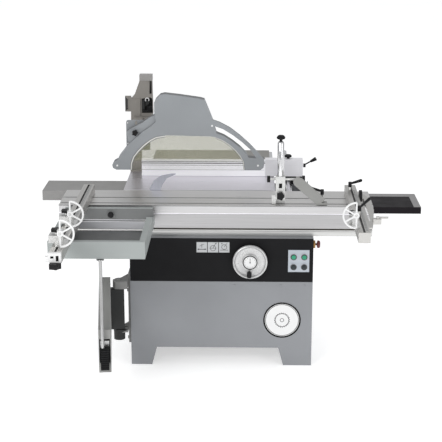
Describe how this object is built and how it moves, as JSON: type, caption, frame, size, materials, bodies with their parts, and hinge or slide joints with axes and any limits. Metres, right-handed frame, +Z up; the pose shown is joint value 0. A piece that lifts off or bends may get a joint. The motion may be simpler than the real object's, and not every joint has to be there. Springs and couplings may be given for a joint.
{
  "type": "sliding table panel saw",
  "caption": "Sliding-table panel saw with tilting blade unit, outrigger with stop fence, rip fence and overhead guard on a rear column.",
  "frame": {"origin": "on the floor at the centre of the four floor bolts", "axes": "+Z up, +X along the sliding table towards the infeed end, +Y from the sliding table towards the rip fence"},
  "size_m": [1.976, 2.375, 1.396],
  "materials": {
    "cabinet_grey": "satin grey powder coat",
    "panel_black": "textured black",
    "plate_silver": "printed aluminium plate",
    "table_iron": "ground and polished",
    "outfeed_grey": "satin",
    "anodised": "clear anodised",
    "beam_steel": "ground",
    "extension_black": "satin black",
    "frame_grey": "satin light grey",
    "column_grey": "satin",
    "guard_grey": "satin",
    "clear_sheet": "clear polycarbonate",
    "knob_black": "moulded",
    "flag_silver": "cast",
    "lever_black": "moulded",
    "chrome_rod": "polished",
    "clamp_alloy": "cast and machined",
    "carrier_alloy": "light satin",
    "arm_grey": "satin",
    "bracket_dark": "satin dark grey",
    "unit_iron": "painted casting",
    "motor_paint": "satin",
    "arbor_steel": "turned",
    "blade_steel": "ground",
    "knife_steel": "plain",
    "pulley_steel": "turned",
    "belt_rubber": "matte",
    "wheel_silver": "polished casting",
    "button_green": "moulded",
    "selector_black": "moulded",
    "stop_red": "moulded",
    "cage_brass": "plain"
  },
  "bodies": {
    "base": {"base_cabinet": "cabinet_grey", "front_panel": "panel_black", "control_plates": "plate_silver", "dust_port": "cabinet_grey", "main_table": "table_iron", "outfeed_table": "outfeed_grey", "widening_table": "table_iron", "fence_rail": "chrome_rod", "slide_beam": "beam_steel", "guard_column": "column_grey", "guard_boom": "column_grey", "arm_bracket": "bracket_dark"},
    "door": {"rear_door": "cabinet_grey"},
    "cage": {"roller_cage": "cage_brass"},
    "carriage": {"carriage": "anodised", "carriage_extension": "extension_black"},
    "outrigger": {"outrigger_frame": "frame_grey"},
    "index_knob": {"outrigger_knob": "knob_black"},
    "crosscut": {"crosscut_fence": "anodised"},
    "extension": {"fence_extension": "anodised"},
    "slide_stop_a": {"stop_a": "clamp_alloy"},
    "flag_a": {"stop_flag_a": "flag_silver"},
    "slide_stop_b": {"stop_b": "clamp_alloy"},
    "flag_b": {"stop_flag_b": "flag_silver"},
    "short": {"short_fence": "anodised"},
    "slide_stop_c": {"stop_c": "clamp_alloy"},
    "flag_c": {"stop_flag_c": "flag_silver"},
    "lever_a": {"fence_lever_a": "lever_black"},
    "lever_b": {"fence_lever_b": "lever_black"},
    "hold_down": {"clamp_body": "clamp_alloy", "hold_down_brace": "clamp_alloy"},
    "lever_brace": {"brace_lever": "lever_black"},
    "press_tube": {"clamp_tube": "chrome_rod"},
    "clamp_knob": {"clamp_star_knob": "knob_black"},
    "rip_carrier": {"rip_fence_carrier": "carrier_alloy"},
    "rip_profile": {"rip_fence_profile": "anodised"},
    "rip_lever": {"rip_fence_lever": "lever_black"},
    "rip_knob": {"rip_fence_knob": "knob_black"},
    "arm": {"swing_arm": "arm_grey"},
    "post": {"support_post": "arm_grey"},
    "tilt_unit": {"tilt_frame": "unit_iron"},
    "tilt_wheel": {"tilt_handwheel": "wheel_silver"},
    "lift_wheel": {"lift_handwheel": "wheel_silver"},
    "lift_unit": {"arbor_carriage": "unit_iron", "main_motor": "motor_paint", "drive_belt": "belt_rubber"},
    "arbor": {"saw_arbor": "arbor_steel", "saw_blade": "blade_steel"},
    "knife": {"riving_knife": "knife_steel"},
    "motor_rotor": {"motor_pulley": "pulley_steel"},
    "scorer": {"scoring_unit": "unit_iron"},
    "scoring_rotor": {"scoring_blade": "blade_steel"},
    "guard": {"guard_hood": "guard_grey", "guard_shield": "clear_sheet"},
    "guard_clamp": {"guard_knob": "knob_black"},
    "start_a": {"start_button_a": "button_green"},
    "start_b": {"start_button_b": "button_green"},
    "select_a": {"selector_a": "selector_black"},
    "select_b": {"selector_b": "selector_black"},
    "estop": {"estop_button": "stop_red"}
  },
  "joints": [
    {"name": "carriage_slide", "type": "slide", "parent": "base", "child": "carriage", "axis": [1, 0, 0], "range_m": [-0.8, 0.8]},
    {"name": "roller_cage_slide", "type": "slide", "parent": "base", "child": "cage", "axis": [1, 0, 0], "range_m": [-0.4, 0.4]},
    {"name": "arm_swing", "type": "hinge", "parent": "base", "child": "arm", "pos_m": [-0.53, -0.37, 0], "axis": [0, 0, 1], "range_deg": [-55, 55]},
    {"name": "outrigger_slide", "type": "slide", "parent": "carriage", "child": "outrigger", "axis": [1, 0, 0], "range_m": [-0.03, 0.25]},
    {"name": "crosscut_swivel", "type": "hinge", "parent": "outrigger", "child": "crosscut", "pos_m": [-0.703, -0.158, 0.85], "axis": [0, 0, 1], "range_deg": [-45, 45]},
    {"name": "fence_extension_slide", "type": "slide", "parent": "crosscut", "child": "extension", "axis": [0, -1, 0], "range_m": [0, 0.45]},
    {"name": "stop_a_slide", "type": "slide", "parent": "crosscut", "child": "slide_stop_a", "axis": [0, 1, 0], "range_m": [-0.1, 0.3]},
    {"name": "flag_a_flip", "type": "hinge", "parent": "slide_stop_a", "child": "flag_a", "pos_m": [-0.687, -0.911, 0.968], "axis": [0, -1, 0], "range_deg": [0, 90]},
    {"name": "stop_b_slide", "type": "slide", "parent": "crosscut", "child": "slide_stop_b", "axis": [0, 1, 0], "range_m": [-0.05, 0.1]},
    {"name": "flag_b_flip", "type": "hinge", "parent": "slide_stop_b", "child": "flag_b", "pos_m": [-0.687, -1.228, 0.968], "axis": [0, -1, 0], "range_deg": [0, 90]},
    {"name": "short_fence_swivel", "type": "hinge", "parent": "carriage", "child": "short", "pos_m": [0.664, -0.158, 0.85], "axis": [0, 0, 1], "range_deg": [-20, 45]},
    {"name": "stop_c_slide", "type": "slide", "parent": "short", "child": "slide_stop_c", "axis": [0, 1, 0], "range_m": [-0.03, 0.15]},
    {"name": "flag_c_flip", "type": "hinge", "parent": "slide_stop_c", "child": "flag_c", "pos_m": [0.629, -0.905, 0.968], "axis": [0, 1, 0], "range_deg": [0, 90]},
    {"name": "hold_down_slide", "type": "slide", "parent": "carriage", "child": "hold_down", "axis": [1, 0, 0], "range_m": [-0.35, 0.08]},
    {"name": "press_tube_slide", "type": "slide", "parent": "hold_down", "child": "press_tube", "axis": [0, 0, 1], "range_m": [-0.02, 0.08]},
    {"name": "rip_fence_slide", "type": "slide", "parent": "base", "child": "rip_carrier", "axis": [0, 1, 0], "range_m": [-0.25, 0.6]},
    {"name": "rip_profile_slide", "type": "slide", "parent": "rip_carrier", "child": "rip_profile", "axis": [1, 0, 0], "range_m": [-0.15, 0]},
    {"name": "arm_telescope", "type": "slide", "parent": "arm", "child": "post", "axis": [0.1045, -0.9945, 0], "range_m": [0, 0.4]},
    {"name": "blade_tilt", "type": "hinge", "parent": "base", "child": "tilt_unit", "pos_m": [0, 0, 0.85], "axis": [-1, 0, 0], "range_deg": [0, 45]},
    {"name": "blade_lift", "type": "slide", "parent": "tilt_unit", "child": "lift_unit", "axis": [0, 0, 1], "range_m": [0, 0.08]},
    {"name": "knife_adjust", "type": "slide", "parent": "lift_unit", "child": "knife", "axis": [0, 0, 1], "range_m": [-0.03, 0]},
    {"name": "guard_lift", "type": "slide", "parent": "base", "child": "guard", "axis": [0, 0, 1], "range_m": [-0.04, 0.04]},
    {"name": "arbor_spin", "type": "hinge", "parent": "lift_unit", "child": "arbor", "pos_m": [-0.18, 0, 0.688], "axis": [0, 1, 0], "continuous": true},
    {"name": "rear_door_hinge", "type": "hinge", "parent": "base", "child": "door", "pos_m": [0.318, 0.3915, 0], "axis": [0, 0, -1], "range_deg": [0, 100]},
    {"name": "tilt_wheel_turn", "type": "hinge", "parent": "base", "child": "tilt_wheel", "pos_m": [0.144, -0.36, 0.576], "axis": [0, -1, 0], "range_deg": [0, 1441]},
    {"name": "lift_wheel_turn", "type": "hinge", "parent": "base", "child": "lift_wheel", "pos_m": [0.466, 0.06, 0.56], "axis": [1, 0, 0], "range_deg": [0, 2881]},
    {"name": "motor_spin", "type": "hinge", "parent": "lift_unit", "child": "motor_rotor", "pos_m": [-0.06, 0.1, 0.55], "axis": [0, 1, 0], "continuous": true},
    {"name": "scoring_lift", "type": "slide", "parent": "tilt_unit", "child": "scorer", "axis": [0, 0, 1], "range_m": [0, 0.008]},
    {"name": "scoring_spin", "type": "hinge", "parent": "scorer", "child": "scoring_rotor", "pos_m": [0.048, 0, 0.785], "axis": [0, 1, 0], "continuous": true},
    {"name": "rip_lever_turn", "type": "hinge", "parent": "rip_carrier", "child": "rip_lever", "pos_m": [0.437, 0.357, 0.905], "axis": [1, 0, 0], "range_deg": [-60, 30]},
    {"name": "brace_lever_turn", "type": "hinge", "parent": "hold_down", "child": "lever_brace", "pos_m": [0.509, -0.269, 0.9], "axis": [0, 0, 1], "range_deg": [-90, 10]},
    {"name": "lever_a_turn", "type": "hinge", "parent": "short", "child": "lever_a", "pos_m": [0.658, -0.164, 0.9], "axis": [0, 0, 1], "range_deg": [-40, 60]},
    {"name": "lever_b_turn", "type": "hinge", "parent": "short", "child": "lever_b", "pos_m": [0.667, -0.637, 0.9], "axis": [0, 0, 1], "range_deg": [-40, 60]},
    {"name": "start_a_push", "type": "slide", "parent": "base", "child": "start_a", "axis": [0, 1, 0], "range_m": [0, 0.004], "stiffness_N_per_m": 400},
    {"name": "start_b_push", "type": "slide", "parent": "base", "child": "start_b", "axis": [0, 1, 0], "range_m": [0, 0.004], "stiffness_N_per_m": 400},
    {"name": "selector_a_turn", "type": "hinge", "parent": "base", "child": "select_a", "pos_m": [0.366, -0.36, 0.541], "axis": [0, 1, 0], "range_deg": [-45, 45]},
    {"name": "selector_b_turn", "type": "hinge", "parent": "base", "child": "select_b", "pos_m": [0.42, -0.36, 0.541], "axis": [0, 1, 0], "range_deg": [-45, 45]},
    {"name": "estop_push", "type": "slide", "parent": "base", "child": "estop", "axis": [-1, 0, 0], "range_m": [0, 0.005], "stiffness_N_per_m": 400},
    {"name": "index_knob_turn", "type": "hinge", "parent": "outrigger", "child": "index_knob", "pos_m": [-0.558, -0.383, 0.823], "axis": [0, -1, 0], "range_deg": [-180, 180]},
    {"name": "clamp_knob_turn", "type": "hinge", "parent": "hold_down", "child": "clamp_knob", "pos_m": [0.296, -0.292, 0.9], "axis": [0, -1, 0], "range_deg": [-180, 180]},
    {"name": "rip_knob_turn", "type": "hinge", "parent": "rip_carrier", "child": "rip_knob", "pos_m": [0.354, 0.357, 0.944], "axis": [0, 0, 1], "range_deg": [-180, 180]},
    {"name": "guard_clamp_turn", "type": "hinge", "parent": "guard", "child": "guard_clamp", "pos_m": [-0.461, -0.028, 1.168], "axis": [0, -1, 0], "range_deg": [-180, 180]}
  ],
  "couplings": [
    {"joint": "roller_cage_slide", "follows": "carriage_slide", "ratio": 0.5},
    {"joint": "arm_swing", "follows": "carriage_slide", "rad_per_m": 1.189},
    {"joint": "tilt_wheel_turn", "follows": "blade_tilt", "ratio": 32},
    {"joint": "lift_wheel_turn", "follows": "blade_lift", "rad_per_m": 628.3},
    {"joint": "motor_spin", "follows": "arbor_spin", "ratio": 1}
  ]
}
